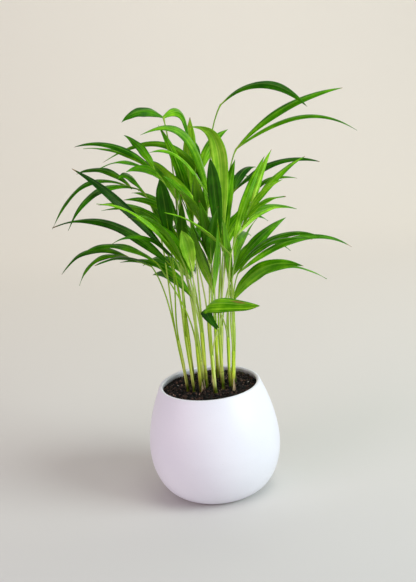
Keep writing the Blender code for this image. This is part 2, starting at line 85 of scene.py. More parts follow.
# A fine blade: shares of its half width, and thicknesses in metres
LEAF_FOLD = 0.16
PLEATS = 5
PLEAT_DEPTH = 0.022
HALF_THICKNESS = 0.17 * MM
EDGE_THICKNESS = 0.05 * MM
MIDRIB_HEIGHT = 0.16 * MM

# The stems that still wear a dry sheath
SHEATHED_STEMS = (3, 6, 8, 12)

# The leaf that folds over in front. Its first part shows its underside, up to a share of its length, turned
# to the front and painted dark as shade, with a share of the blade's full width at the fold. Near its upper
# edge it has a brown mark: how far along, on which side, how brown
FOLDED_LEAF = "frond_16"
DARK_UNTIL = 0.27
SHADE_BLEND = 0.03
FOLD_BREADTH = 0.62
TO_FRONT = Vector((0.25, -1, 0.1)).normalized()
BROWN_MARK = (0.73, -0.50, 0.85)
MARK_LENGTH = 0.11
MARK_BREADTH = 0.30

# The tone of a frond's green, from 0, an old dark leaf, to 1, a young bright one. The others get the middle
MIDDLE_TONE = 0.4
TONES = {
    "frond_01": 0.08, "frond_02": 0.30, "frond_03": 0.35, "frond_04": 0.10, "frond_05": 0.02,
    "frond_06": 0.45, "frond_07": 0.25, "frond_08": 0.52, "frond_09": 0.72, "frond_10": 0.40,
    "frond_11": 0.38, "frond_12": 0.35, "frond_13": 0.35, "frond_14": 0.50, "frond_15": 0.50,
    "frond_16": 0.66, "frond_17": 0.35, "frond_18": 0.62, "frond_19": 0.75, "frond_20": 0.56,
    "frond_21": 0.22, "frond_22": 0.35, "frond_23": 0.16, "frond_24": 0.60, "frond_25": 0.86,
    "frond_26": 0.68, "frond_27": 0.36, "frond_28": 0.38, "frond_29": 0.42, "frond_30": 0.25,
    "frond_31": 0.55, "frond_32": 0.60, "frond_33": 0.65,
}


# ------------ reading the CAD nodes

def welded(node):
    """A node's points, with those that share a place merged, and each one's neighbours along the edges."""
    mesh = NODES[node].data
    place_of = {}
    points = []
    merged = []
    for vertex in mesh.vertices:
        key = tuple(round(value, 6) for value in vertex.co)
        if key not in place_of:
            place_of[key] = len(points)
            points.append(Vector(vertex.co))
        merged.append(place_of[key])
    neighbours = [set() for _ in points]
    for edge in mesh.edges:
        first, second = (merged[index] for index in edge.vertices)
        if first != second:
            neighbours[first].add(second)
            neighbours[second].add(first)
    return points, neighbours


def rings_from(seed, neighbours, corners):
    """The rings of a bar, in order from its end, for as long as each has the bar's number of corners."""
    seen = set(seed)
    level = set(seed)
    rings = []
    while True:
        level = set().union(*(neighbours[index] for index in level)) - seen
        if len(level) != corners:
            return rings
        rings.append(sorted(level))
        seen |= level


def centre_of(ring, points):
    return sum((points[index] for index in ring), Vector()) / len(ring)


def nodes_of(kind):
    return sorted(name for name in NODES if name.startswith(kind))


class Cubic:
    """The cubic curve that comes nearest to points at known shares of its length."""

    def __init__(self, shares, points):
        powers = np.vander(np.array(shares), 4, increasing=True)
        places = np.array([list(point) for point in points])
        self.factors, *_ = np.linalg.lstsq(powers, places, rcond=None)

    def at(self, share):
        return Vector(np.array([1.0, share, share**2, share**3]) @ self.factors)

    def along(self, share):
        return Vector(np.array([0.0, 1.0, 2 * share, 3 * share**2]) @ self.factors).normalized()

    def length(self, steps=20):
        places = [self.at(step / steps) for step in range(steps + 1)]
        return sum((after - before).length for before, after in zip(places, places[1:]))


class Spline:
    """A smooth path that passes through points at known shares of its length, given in order."""

    def __init__(self, shares, points):
        self.shares = shares
        self.points = points
        steps = [(after - before) / (high - low)
                 for before, after, low, high in zip(points, points[1:], shares, shares[1:])]
        middle = [(before + after) / 2 for before, after in zip(steps, steps[1:])]
        first = steps[0] * 1.5 - middle[0] * 0.5
        last = steps[-1] * 1.5 - middle[-1] * 0.5
        self.slopes = [first, *middle, last]

    def span(self, share):
        row = 0
        while row < len(self.shares) - 2 and share > self.shares[row + 1]:
            row += 1
        size = self.shares[row + 1] - self.shares[row]
        return row, size, (share - self.shares[row]) / size

    def at(self, share):
        row, size, t = self.span(share)
        ends = self.points[row] * (2 * t**3 - 3 * t**2 + 1) + self.points[row + 1] * (3 * t**2 - 2 * t**3)
        bends = self.slopes[row] * (t**3 - 2 * t**2 + t) + self.slopes[row + 1] * (t**3 - t**2)
        return ends + bends * size

    def along(self, share):
        row, size, t = self.span(share)
        ends = (self.points[row + 1] - self.points[row]) * (6 * t - 6 * t**2) / size
        bends = self.slopes[row] * (3 * t**2 - 4 * t + 1) + self.slopes[row + 1] * (3 * t**2 - 2 * t)
        return (ends + bends).normalized()


def read_bar(node, corners):
    """The centres and radii of a bar's rings, from its lowest end up."""
    points, neighbours = welded(node)
    lowest = min(range(len(points)), key=lambda index: points[index].z)
    base = sorted(range(len(points)), key=lambda index: (points[index] - points[lowest]).length)[:corners]
    rings = [base, *rings_from(base, neighbours, corners)]
    centres = [centre_of(ring, points) for ring in rings]
    radii = [(points[ring[0]] - centre).length for ring, centre in zip(rings, centres)]
    return centres, radii


def blade_width(share, broadest):
    """The blade's width as a share of its greatest."""
    if share < broadest:
        return BLADE_FOOT + (1 - BLADE_FOOT) * math.sin(share / broadest * math.pi / 2)
    return 1 - ((share - broadest) / (1 - broadest)) ** BLADE_TAPER


def fitted_width(halves):
    """The place and size of a blade's broadest part that fit its half widths, given with their shares."""
    best = None
    for candidate in np.linspace(0.2, 0.8, 61):
        shape = np.array([blade_width(share, candidate) for share, _ in halves])
        measured = np.array([half for _, half in halves])
        size = float(shape @ measured / (shape @ shape))
        error = float(np.sum((shape * size - measured) ** 2))
        if best is None or error < best[0]:
            best = (error, float(candidate), size)
    return best[1], best[2]


def read_blades(node):
    """The blades of a frond: each one's centreline, its face's direction along it, and its broadest part."""
    points, neighbours = welded(node)
    blades = []
    for tip, near in enumerate(neighbours):
        if len(near) != BLADE_CORNERS:
            continue
        rings = rings_from({tip}, neighbours, BLADE_CORNERS)[: BLADE_STATIONS]
        if len(rings) < 4:
            continue
        shares = [1.0]
        centres = [points[tip]]
        faces = []
        halves = []
        for order, ring in enumerate(rings):
            pairs = [(a, b) for position, a in enumerate(ring) for b in ring[position + 1:]]
            left, right = max(pairs, key=lambda pair: (points[pair[0]] - points[pair[1]]).length)
            rib = [index for index in ring if index not in (left, right)]
            edge_middle = (points[left] + points[right]) / 2
            rib_middle = (points[rib[0]] + points[rib[1]]) / 2
            share = 1 - (order + 1) / BLADE_STATIONS
            half = (points[left] - points[right]).length / 2
            is_blade = (points[rib[0]] - points[rib[1]]).length < half * 2
            if not is_blade or share < 0.2:
                break
            shares.append(share)
            centres.append((edge_middle + rib_middle) / 2)
            faces.append((share, (rib_middle - edge_middle).normalized()))
            halves.append((share, half))
        if len(shares) < 5:
            continue
        fit = Cubic(shares, centres)
        starts = [0.0, shares[-1] / 2]
        line = Spline(starts + shares[::-1], [fit.at(share) for share in starts] + centres[::-1])
        blades.append((line, sorted(faces, key=lambda pair: pair[0]), fitted_width(halves)))
    return sorted(blades, key=lambda blade: tuple(blade[0].at(1.0)))


# ------------ mesh helpers

class Skin:
    """A growing mesh of closed bodies with values on its points and a material index on its faces."""

    def __init__(self, *values):
        self.points = []
        self.faces = []
        self.slots = []
        self.maps = []
        self.values = {name: [] for name in values}

    def body(self, rings, slot=0, **values):
        """Joins rings of as many points, and closes both ends. A value is a list or one for all points."""
        start = len(self.points)
        count = len(rings[0])
        for ring in rings:
            self.points.extend(ring)
        for name, kept in self.values.items():
            given = values.get(name, 0.0)
            kept.extend(given if isinstance(given, list) else [given] * (len(rings) * count))
        last = len(rings) - 1
        for row in range(last):
            low = row / last
            high = (row + 1) / last
            for column in range(count):
                following = (column + 1) % count
                lower = start + row * count
                upper = lower + count
                self.faces.append((lower + column, lower + following, upper + following, upper + column))
                self.slots.append(slot)
                left = column / count
                right = (column + 1) / count
                self.maps.append(((left, low), (right, low), (right, high), (left, high)))
        for row, is_first in ((0, True), (last, False)):
            lower = start + row * count
            loop = [lower + column for column in range(count)]
            self.faces.append(tuple(loop[::-1] if is_first else loop))
            self.slots.append(slot)
            self.maps.append(tuple((0.5, row / last) for _ in loop))

    def object(self, name, materials):
        mesh = bpy.data.meshes.new(name)
        mesh.from_pydata([tuple(point) for point in self.points], [], self.faces)
        for material in materials:
            mesh.materials.append(material)
        mesh.polygons.foreach_set("material_index", self.slots)
        layer = mesh.uv_layers.new(name="UVMap")
        layer.data.foreach_set("uv", [value for face in self.maps for pair in face for value in pair])
        for value_name, kept in self.values.items():
            mesh.attributes.new(value_name, "FLOAT", "POINT").data.foreach_set("value", kept)
        shape = bmesh.new()
        shape.from_mesh(mesh)
        bmesh.ops.recalc_face_normals(shape, faces=shape.faces)
        shape.to_mesh(mesh)
        shape.free()
        mesh.shade_smooth()
        mesh.update()
        return placed_object(name, mesh)


def placed_object(name, data):
    piece = bpy.data.objects.new(name, data)
    bpy.context.scene.collection.objects.link(piece)
    return piece


def tube_rings(places, radii, sides, bumps=None):
    """Rings round a path, kept from twisting. Bumps gives a share to add to the radius at a row and turn."""
    rings = []
    across = None
    for row, place in enumerate(places):
        ahead = places[min(row + 1, len(places) - 1)]
        behind = places[max(row - 1, 0)]
        along = (ahead - behind).normalized()
        if across is None:
            across = along.orthogonal().normalized()
        across = (across - along * across.dot(along)).normalized()
        beside = along.cross(across)
        ring = []
        for side in range(sides):
            turn = 2 * math.pi * side / sides
            radius = radii[row] * (1 + (bumps(row, turn) if bumps else 0.0))
            ring.append(place + (across * math.cos(turn) + beside * math.sin(turn)) * radius)
        rings.append(ring)
    return rings


def smoothstep(low, high, value):
    share = min(max((value - low) / (high - low), 0.0), 1.0)
    return share * share * (3 - 2 * share)


# ------------ materials

class Nodes:
    """A short way to write a material's nodes."""

    def __init__(self, name):
        self.material = bpy.data.materials.new(name)
        self.material.use_nodes = True
        self.tree = self.material.node_tree
        self.shader = self.tree.nodes["Principled BSDF"]

    def link(self, output, target):
        self.tree.links.new(output, target)

    def feed(self, target, value):
        if isinstance(value, bpy.types.NodeSocket):
            self.link(value, target)
        else:
            target.default_value = value

    def new(self, kind, **settings):
        node = self.tree.nodes.new(kind)
        for name, value in settings.items():
            setattr(node, name, value)
        return node

    def value(self, name):
        return self.new("ShaderNodeAttribute", attribute_name=name).outputs["Fac"]

    def uv(self):
        split = self.new("ShaderNodeSeparateXYZ")
        self.link(self.new("ShaderNodeUVMap", uv_map="UVMap").outputs[0], split.inputs[0])
        return split.outputs[0], split.outputs[1]

    def place(self):
        return self.new("ShaderNodeTexCoord").outputs["Object"]

    def noise(self, place, scale, detail=4.0, roughness=0.55):
        texture = self.new("ShaderNodeTexNoise")
        texture.inputs["Scale"].default_value = scale
        texture.inputs["Detail"].default_value = detail
        texture.inputs["Roughness"].default_value = roughness
        self.link(place, texture.inputs["Vector"])
        return texture.outputs["Fac"]

    def math(self, operation, *values):
        node = self.new("ShaderNodeMath", operation=operation)
        for target, value in zip(node.inputs, values):
            self.feed(target, value)
        return node.outputs[0]

    def plus(self, first, second):
        return self.math("ADD", first, second)

    def times(self, first, second):
        return self.math("MULTIPLY", first, second)

    def strands(self, across, along, counts, seed, detail=3.0, roughness=0.6):
        """Noise that is drawn out along a blade or stalk."""
        place = self.combine(self.times(across, counts[0]), self.times(along, counts[1]), seed)
        return self.noise(place, 1.0, detail, roughness)

    def spread(self, value, low, high, to_low=0.0, to_high=1.0):
        node = self.new("ShaderNodeMapRange", clamp=True)
        for target, given in zip(node.inputs, (value, low, high, to_low, to_high)):
            self.feed(target, given)
        return node.outputs[0]

    def mix(self, factor, first, second, blend="MIX"):
        node = self.new("ShaderNodeMix", data_type="RGBA", blend_type=blend)
        self.feed(node.inputs[0], factor)
        self.feed(node.inputs[6], first)
        self.feed(node.inputs[7], second)
        return node.outputs[2]

    def ramp(self, value, *stops):
        node = self.new("ShaderNodeValToRGB")
        band = node.color_ramp
        band.elements[0].position, band.elements[0].color = stops[0][0], (*stops[0][1], 1)
        band.elements[1].position, band.elements[1].color = stops[-1][0], (*stops[-1][1], 1)
        for position, colour in stops[1:-1]:
            band.elements.new(position).color = (*colour, 1)
        self.link(value, node.inputs[0])
        return node.outputs[0]

    def combine(self, *values):
        node = self.new("ShaderNodeCombineXYZ")
        for target, value in zip(node.inputs, values):
            self.feed(target, value)
        return node.outputs[0]

    def bump(self, height, strength, distance):
        node = self.new("ShaderNodeBump")
        node.inputs["Strength"].default_value = strength
        node.inputs["Distance"].default_value = distance
        self.link(height, node.inputs["Height"])
        self.link(node.outputs[0], self.shader.inputs["Normal"])

    def surface(self, colour, roughness, **plain):
        self.feed(self.shader.inputs["Base Color"], colour)
        self.feed(self.shader.inputs["Roughness"], roughness)
        for name, value in plain.items():
            self.shader.inputs[name.replace("_", " ")].default_value = value
        return self.material


def rgb(red, green, blue):
    return (red, green, blue, 1.0)


def leaf_material():
    """Green with fine parallel veins, a paler midrib, a tone for each blade, and browned tips and marks."""
    n = Nodes("leaf")
    across, along = n.uv()
    tone = n.value("tone")
    brown = n.value("brown")
    seed = n.value("seed")
    side = n.math("ABSOLUTE", n.math("SUBTRACT", n.times(across, 2.0), 1.0))
    lines = n.strands(side, along, (26.0, 0.6), seed)
    wide = n.strands(side, along, (5.0, 1.5), seed, 2.0, 0.5)
    cloud = n.noise(n.place(), 90.0, 3.0, 0.5)
    shade = n.plus(tone, n.spread(wide, 0.3, 0.7, -0.14, 0.14))
    shade = n.plus(shade, n.spread(cloud, 0.3, 0.7, -0.10, 0.10))
    shade = n.plus(shade, n.spread(lines, 0.35, 0.65, -0.13, 0.13))
    shade = n.plus(shade, n.spread(along, 0.0, 0.45, 0.22, 0.0))
    green = n.ramp(shade, (0.0, (0.0005, 0.028, 0.0)), (0.3, (0.014, 0.112, 0.0)),
                   (0.55, (0.078, 0.290, 0.0)), (0.8, (0.250, 0.560, 0.014)), (1.0, (0.580, 0.840, 0.080)))
    rib = n.spread(side, 0.02, 0.09, 1.0, 0.0)
    rib = n.times(rib, n.spread(along, 0.75, 1.0, 0.55, 0.0))
    rib = n.times(rib, n.spread(tone, 0.0, 0.6, 0.25, 1.0))
    green = n.mix(rib, green, rgb(0.26, 0.46, 0.06))
    under = n.times(n.value("under"), n.spread(tone, 0.0, 0.6, 0.0, 0.35))
    green = n.mix(under, green, rgb(0.130, 0.270, 0.025))
    edge = n.spread(side, 0.93, 1.0, 0.0, 0.35)
    green = n.mix(edge, green, rgb(0.10, 0.26, 0.01))
    spots = n.noise(n.place(), 900.0, 2.0, 0.5)
    browned = n.plus(brown, n.spread(spots, 0.62, 0.75, 0.0, 0.10))
    browned = n.spread(n.plus(browned, n.spread(cloud, 0.3, 0.7, -0.12, 0.12)), 0.25, 0.75)
    colour = n.mix(browned, green, rgb(0.22, 0.12, 0.035))
    rough = n.spread(lines, 0.3, 0.7, 0.27, 0.42)
    rough = n.plus(rough, n.times(browned, 0.25))
    height = n.plus(n.times(lines, 0.7), n.times(rib, 1.2))
    n.bump(height, 0.20, 0.0003)
    return n.surface(colour, rough, Specular_IOR_Level=0.17, Specular_Tint=rgb(0.65, 0.95, 0.35))


def stalk_material(name, *stops):
    """A ribbed yellow-green stalk whose colour changes along its length."""
    n = Nodes(name)
    across, along = n.uv()
    tone = n.value("tone")
    brown = n.value("brown")
    streaks = n.strands(across, along, (14.0, 1.2), tone)
    patches = n.noise(n.place(), 160.0, 3.0, 0.55)
    way = n.plus(along, n.spread(patches, 0.3, 0.7, -0.06, 0.06))
    colour = n.ramp(way, *stops)
    paler = n.times(n.spread(tone, 0.2, 1.0, 0.0, 0.75), n.spread(way, 0.16, 0.36))
    colour = n.mix(paler, colour, rgb(0.92, 0.96, 0.40))
    colour = n.mix(n.spread(streaks, 0.50, 0.66, 0.0, 0.75), colour, rgb(0.10, 0.25, 0.0))
    browned = n.spread(n.plus(brown, n.spread(patches, 0.3, 0.7, -0.25, 0.25)), 0.3, 0.9)
    colour = n.mix(browned, colour, rgb(0.20, 0.15, 0.035))
    rough = n.plus(n.spread(patches, 0.3, 0.7, 0.28, 0.40), n.times(browned, 0.3))
    n.bump(streaks, 0.5, 0.0005)
    return n.surface(colour, rough, Specular_IOR_Level=0.28, Specular_Tint=rgb(0.90, 0.98, 0.50))


def sheath_material():
    """Dry papery leaf sheath: tan to brown, with fibres along it."""
    n = Nodes("dry_sheath")
    across, along = n.uv()
    fibres = n.strands(across, along, (40.0, 2.0), 0.0, 4.0)
    patches = n.noise(n.place(), 220.0, 3.0, 0.6)
    colour = n.ramp(n.plus(n.times(along, 0.5), n.times(patches, 0.5)),
                    (0.2, (0.24, 0.150, 0.070)), (0.5, (0.70, 0.53, 0.32)), (0.9, (0.86, 0.75, 0.52)))
    colour = n.mix(n.spread(fibres, 0.4, 0.7, 0.0, 0.5), colour, rgb(0.22, 0.13, 0.055))
    n.bump(fibres, 0.6, 0.0004)
    return n.surface(colour, 0.75, Specular_IOR_Level=0.25)


def pot_material():
    """Matte white ceramic: faint clouds and pin specks in the glaze, a satin sheen, and soil marks inside."""
    n = Nodes("white_ceramic")
    place = n.place()
    clouds = n.noise(place, 22.0, 4.0, 0.55)
    fine = n.noise(place, 900.0, 3.0, 0.6)
    specks = n.noise(place, 1500.0, 1.0, 0.5)
    colour = n.mix(n.spread(clouds, 0.3, 0.7), rgb(0.79, 0.785, 0.86), rgb(0.82, 0.815, 0.88))
    colour = n.mix(n.spread(specks, 0.70, 0.76, 0.0, 0.30), colour, rgb(0.55, 0.50, 0.45))
    dirt = n.value("dirt")
    stain = n.times(dirt, n.spread(n.noise(place, 260.0, 4.0, 0.65), 0.42, 0.62))
    colour = n.mix(stain, colour, rgb(0.16, 0.10, 0.06))
    bare = n.value("bare")
    colour = n.mix(bare, colour, rgb(0.66, 0.61, 0.55))
    rough = n.plus(n.spread(clouds, 0.3, 0.7, 0.40, 0.50), n.times(bare, 0.35))
    rough = n.plus(rough, n.spread(fine, 0.3, 0.7, -0.03, 0.03))
    n.bump(n.plus(n.times(fine, 0.5), clouds), 0.12, 0.0006)
    return n.surface(colour, rough, Specular_IOR_Level=0.5)


def grain_material(name, dark, light, roughness, scale):
    """Loose matter: each grain has its own tone, with a rough grained surface."""
    n = Nodes(name)
    tone = n.value("tone")
    grain = n.noise(n.place(), scale, 5.0, 0.65)
    way = n.plus(n.times(n.math("POWER", tone, 3.0), 0.80), n.times(grain, 0.36))
    colour = n.ramp(way, (0.2, dark), (0.95, light))
    n.bump(grain, 0.8, 0.0006)
    return n.surface(colour, n.spread(grain, 0.3, 0.7, roughness, roughness - 0.15), Specular_IOR_Level=0.3)


# ------------ fronds

def face_at(faces, share, along):
    """The way that the CAD blade's upper face looks, between the stations where it was read."""
    if share <= faces[0][0]:
        face = faces[0][1]
    elif share >= faces[-1][0]:
        face = faces[-1][1]
    else:
        for (low, first), (high, second) in zip(faces, faces[1:]):
            if low <= share <= high:
                face = first.lerp(second, (share - low) / (high - low))
                break
    return (face - along * face.dot(along)).normalized()


def blade_face(line, faces, share, twist, shaded):
    """The way that a blade's upper face looks: as in the CAD, twisted towards its tip, or to the front."""
    along = line.along(share)
    face = Matrix.Rotation(twist * share * share, 3, along) @ face_at(faces, share, along)
    if shaded:
        front = TO_FRONT if face.dot(TO_FRONT) > 0 else -TO_FRONT
        face = face.lerp((front - along * front.dot(along)).normalized(), shaded)
        face = (face - along * face.dot(along)).normalized()
    return face


def half_width_at(share, width, dark_until):
    """Half of a blade's width, which at a fold has reached a share of its greatest already."""
    broadest, half_width = width
    half = half_width * blade_width(share, broadest)
    if dark_until and share < broadest:
        widened = blade_width(min(share / dark_until, 0.999), 1.0)
        half = max(half, FOLD_BREADTH * half_width * widened)
    return half


def blade_height(column, share, half, camber, wave):
    """How far a blade's surface stands off its midline: its fold, camber, waved edge and pleats."""
    side = abs(column)
    size, waves, phases = wave
    height = LEAF_FOLD * half * (1 - 2 * side) + camber * half * (side * side - 0.4)
    height += size * side**1.6 * math.sin(6.283 * waves * share + phases[column > 0]) * min(share * 5, 1)
    return height + PLEAT_DEPTH * half * math.cos(side * 3.1416 * PLEATS)


def brown_at(share, column, burnt, mark):
    """How brown a blade is at a place, from its burnt tip, the edges of its outer part and its mark."""
    tip = smoothstep(1 - burnt - 0.02, 1 - burnt * 0.5, share) if burnt else 0.0
    edge = 0.30 * smoothstep(0.9, 1.0, abs(column)) * smoothstep(0.7, 1.0, share)
    patch = 0.0
    if mark:
        along, side, strength = mark
        off = ((share - along) / MARK_LENGTH) ** 2 + ((column - side) / MARK_BREADTH) ** 2
        patch = strength * math.exp(-off)
    return min(max(tip, edge, patch), 1.0)


def add_blade(skin, line, faces, width, tone, chance, mark=None, dark_until=0.0):
    """A thin pleated blade with a raised midrib and lightly waved edges, closed all round.

    A mark is a brown patch: its share of the length, its side from -1 to 1, and how brown. The first part of
    a blade that folds over shows its underside, painted dark as shade, up to a share of its length."""
    camber = chance.uniform(-0.10, 0.18)
    twist = math.radians(chance.uniform(-22, 22))
    waves = chance.uniform(1.6, 3.2)
    phases = (chance.uniform(0, 6.3), chance.uniform(0, 6.3))
    wave = (chance.uniform(0.15, 0.55) * MM, waves, phases)
    burnt = chance.uniform(0.01, 0.04) if chance.random() < 0.45 else 0.0
    seed = chance.uniform(0, 50)
    columns = [index / BLADE_ACROSS for index in range(-BLADE_ACROSS, BLADE_ACROSS + 1)]
    around = columns + columns[-2:0:-1]
    rings = []
    browns = []
    unders = []
    tones = []
    for step in range(BLADE_STEPS + 1):
        share = min((step / BLADE_STEPS) ** 0.92, 0.9985)
        # Up to the fold the blade is turned to the front and painted dark as shade
        shaded = 0.0
        if dark_until:
            shaded = 1 - smoothstep(dark_until - SHADE_BLEND, dark_until + SHADE_BLEND, share)
        face = blade_face(line, faces, share, twist, shaded)
        across = line.along(share).cross(face)
        half = half_width_at(share, width, dark_until)
        half *= 1 + 0.03 * math.sin(7.3 * share * waves + phases[0])
        middle = line.at(share)
        upper = []
        lower = []
        for column in columns:
            side = abs(column)
            height = blade_height(column, share, half, camber, wave)
            ridge = MIDRIB_HEIGHT * math.exp(-((side * half / (0.5 * MM)) ** 2)) * (1 - share)
            thick = HALF_THICKNESS * (1 - 0.6 * side) + EDGE_THICKNESS
            spot = middle + across * (column * half)
            upper.append(spot + face * (height + thick + ridge))
            lower.append(spot + face * (height - thick - ridge * 1.5))
        rings.append(upper + lower[-2:0:-1])
        unders.extend([0.0] * len(upper) + [1.0] * (len(around) - len(upper)))
        # Painted shade: before the fold the tone drops below the darkest green of the ramp
        tones.extend([tone * (1 - shaded) - 0.1 * shaded] * len(around))
        browns.extend(brown_at(share, column, burnt, mark) for column in around)
    start = len(skin.maps)
    skin.body(rings, tone=tones, brown=browns, seed=seed, under=unders)
    map_blade(skin, start, len(columns))


def map_blade(skin, start, across):
    """Maps a blade, whose faces start at an index, from edge to edge on both sides and from foot to tip."""
    places = [index / (across - 1) for index in range(across)]
    crossing = places + places[-2:0:-1] + [0.0]
    count = len(crossing) - 1
    for row in range(BLADE_STEPS):
        low = row / BLADE_STEPS
        high = (row + 1) / BLADE_STEPS
        for column in range(count):
            left = crossing[column]
            right = crossing[column + 1]
            corners = ((left, low), (right, low), (right, high), (left, high))
            skin.maps[start + row * count + column] = corners


def add_rib(skin, lead, line, tone):
    """The stalk runs on from two places into the blade as its midrib, thinning along the underside."""
    places = list(lead)
    radii = [0.62 * MM, 0.66 * MM]
    for step in range(RIB_STEPS + 1):
        share = step / RIB_STEPS
        places.append(line.at(0.01 + RIB_REACH * share))
        radii.append((0.60 * (1 - share) ** 1.3 + 0.10) * MM)
    skin.body(tube_rings(places, radii, RIB_SIDES), slot=1, tone=tone)


def sheath_course(base, stems):
    """The way of a stalk's lower end up the side of the stem that it leaves, coming out of it slowly."""
    line, foot_radius, top_radius = min(stems.values(), key=lambda stem: (stem[0].at(1.0) - base).length)
    along = line.along(1.0)
    offset = base - line.at(1.0)
    offset -= along * offset.dot(along)
    side = offset.normalized() if offset.length > 0.2 * MM else Vector()
    places = []
    for share, out in ((0.26, 0.2), (0.4, 0.55), (0.55, 0.75), (0.7, 0.85), (0.84, 0.9), (0.96, 0.8)):
        radius = foot_radius + (top_radius - foot_radius) * share
        places.append(line.at(share) + side * (radius * out))
    return places


def add_stalk(skin, line, spine, radius, tone, grain, course):
    """A ribbed stalk from inside its stem to its crown, and on past the feet of its blades."""
    places = list(course)
    sizes = [radius * (0.8 + 0.2 * step / len(course)) for step in range(len(course))]
    for step in range(STALK_STEPS + 1):
        share = step / STALK_STEPS
        places.append(line.at(share))
        sizes.append(radius * (1.0 - 0.22 * share + 0.18 * smoothstep(0.93, 1.0, share)))
    for foot in spine:
        if (foot - places[-1]).length > 1.5 * MM:
            places.append(foot)
            sizes.append(sizes[-1] * 0.9)

    def bumps(row, turn):
        return 0.05 * math.cos(5 * turn + grain) + 0.05 * noise.noise(Vector((row * 0.7, turn, grain)))

    skin.body(tube_rings(places, sizes, STALK_SIDES, bumps), slot=1, tone=tone, seed=grain)


def build_frond(node, leaf, stalk, stems):
    """A frond: its ribbed stalk, its blades, and the midribs that run on into them."""
    chance = random.Random(1000 + int(node.split("_")[1]))
    centres, radii = read_bar(node, STALK_CORNERS)
    kept = min(len(centres), STALK_STATIONS)
    line = Cubic([step / STALK_STATIONS for step in range(kept)], centres[:kept])
    crown = line.at(1.0)
    blades = read_blades(node)
    feet = sorted((blade[0].at(0.0) for blade in blades), key=lambda foot: (foot - crown).length)
    spine = [foot for foot in feet if (foot - crown).length > NEAR_CROWN]
    skin = Skin("tone", "brown", "seed", "under")
    tone = TONES.get(node, MIDDLE_TONE)
    grain = chance.uniform(0, 50)
    add_stalk(skin, line, spine, radii[0], tone, grain, sheath_course(line.at(0.0), stems))
    for blade_line, faces, width in blades:
        blade_tone = min(max(tone + chance.uniform(-0.12, 0.12), 0.0), 1.0)
        if node == FOLDED_LEAF:
            add_blade(skin, blade_line, faces, width, blade_tone, chance, BROWN_MARK, DARK_UNTIL)
            continue
        add_blade(skin, blade_line, faces, width, blade_tone, chance)
        foot = blade_line.at(0.0)
        lead = [line.at(0.93), line.at(0.97)]
        if (foot - crown).length > NEAR_CROWN:
            lead = [foot - (blade_line.along(0.0) + UP).normalized() * (2 * MM), foot]
        add_rib(skin, lead, blade_line, tone)
    piece = skin.object(f"leafy_{node}", [leaf, stalk])
    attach(piece, "root")
    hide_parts(node)


# ------------ stems

def read_stems():
    """Each stem's centreline above the soil, and its radii at the soil and at its top, as they are seen."""
    stems = {}
    for node in nodes_of("stem_"):
        centres, radii = read_bar(node, STEM_CORNERS)
        chance = random.Random(3000 + int(node.split("_")[1]))
        above = centres[1:]
        line = Cubic([step / (len(above) - 1) for step in range(len(above))], above)
        stems[node] = (line, radii[0] * chance.choice((0.74, 0.86, 0.97)), radii[-1] * 0.92)
    return stems


def stem_course(stem, edges):
    """A stem's way up, from inside the soil to its closed top, with its radii and how brown it is there."""
    line, foot_radius, top_radius = stem
    down = line.at(0.0) - line.along(0.0) * (14 * MM)
    places = [down, down.lerp(line.at(0.0), 0.5)]
    sizes = [foot_radius * 0.9, foot_radius]
    browns = [1.0, 1.0]
    for step in range(STEM_STEPS + 1):
        share = step / STEM_STEPS
        radius = foot_radius + (top_radius - foot_radius) * share
        radius *= 1 + 0.16 * (1 - smoothstep(0.0, 0.16, share))
        for edge in edges:
            swell = smoothstep(edge - 0.10, edge, share) - smoothstep(edge, edge + 0.012, share)
            radius *= 1 + 0.07 * swell
        places.append(line.at(share))
        sizes.append(radius)
        near_edge = sum(0.45 * math.exp(-(((share - edge) / 0.012) ** 2)) for edge in edges)
        browns.append(min(0.7 * (1 - smoothstep(0.0, 0.12, share)) + near_edge, 1.0))
    places.append(line.at(1.0) + line.along(1.0) * (1.2 * MM))
    sizes.append(top_radius * 0.45)
    browns.append(0.0)
    return places, sizes, browns


def build_stem(node, material, dry, stem):
    """A ribbed stem in overlapping sheaths, brown at the soil and darkened to near black there as painted
    shade, and on some a torn dry sheath round it.
    """
    number = int(node.split("_")[1])
    chance = random.Random(2000 + number)
    edges = sorted(chance.uniform(0.25, 0.9) for _ in range(2))
    grain = chance.uniform(0, 60)

    def bumps(row, turn):
        ribs = 0.045 * math.cos(7 * turn + 0.02 * row + grain)
        flat = 0.07 * math.cos(2 * turn + grain + row * 0.012)
        return ribs + flat + 0.05 * noise.noise(Vector((row * 0.15, math.cos(turn) * 1.5, grain)))

    places, sizes, browns = stem_course(stem, edges)
    rings = tube_rings(places, sizes, STEM_SIDES, bumps)
    skin = Skin("tone", "brown")
    tone = chance.uniform(0.0, 0.9)
    skin.body(rings, tone=tone, brown=[value for value in browns for _ in range(STEM_SIDES)])
    if number in SHEATHED_STEMS:
        add_dry_sheath(skin, stem[0], stem[1], chance)
    piece = skin.object(f"ribbed_{node}", [material, dry])
    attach(piece, "root")
    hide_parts(node)


def add_dry_sheath(skin, line, radius, chance):
    """A torn papery sheath that stands off one side of the stem's foot, thin and closed."""
    length = line.length()
    height = chance.uniform(9, 20) * MM
    middle_turn = chance.uniform(-2.6, -0.5)
    reach = chance.uniform(1.0, 1.9)
    rows = 12
    columns = 12
    ragged = [chance.uniform(0.86, 1.0) * (1 - 0.85 * abs(2 * column / columns - 1) ** 1.3)
              for column in range(columns + 1)]
    rings = []
    for row in range(rows + 1):
        share = row / rows
        ring_out = []
        ring_in = []
        for column in range(columns + 1):
            turn = middle_turn + reach * (column / columns - 0.5) * (1 - 0.35 * share)
            rise = (share * ragged[column] * height - 1.5 * MM) / length
            place = line.at(max(rise, 0.0)) + UP * min(rise, 0.0) * length
            ripple = 0.25 * MM * math.sin(column * 1.7 + row * 0.6) * share
            off = radius * (1.22 + 0.55 * share**2.2) + ripple
            way = Vector((math.cos(turn), math.sin(turn), 0))
            ring_out.append(place + way * off)
            ring_in.append(place + way * (off - 0.16 * MM))
        rings.append(ring_out + ring_in[::-1])
    skin.body(rings, slot=1, tone=0.5)


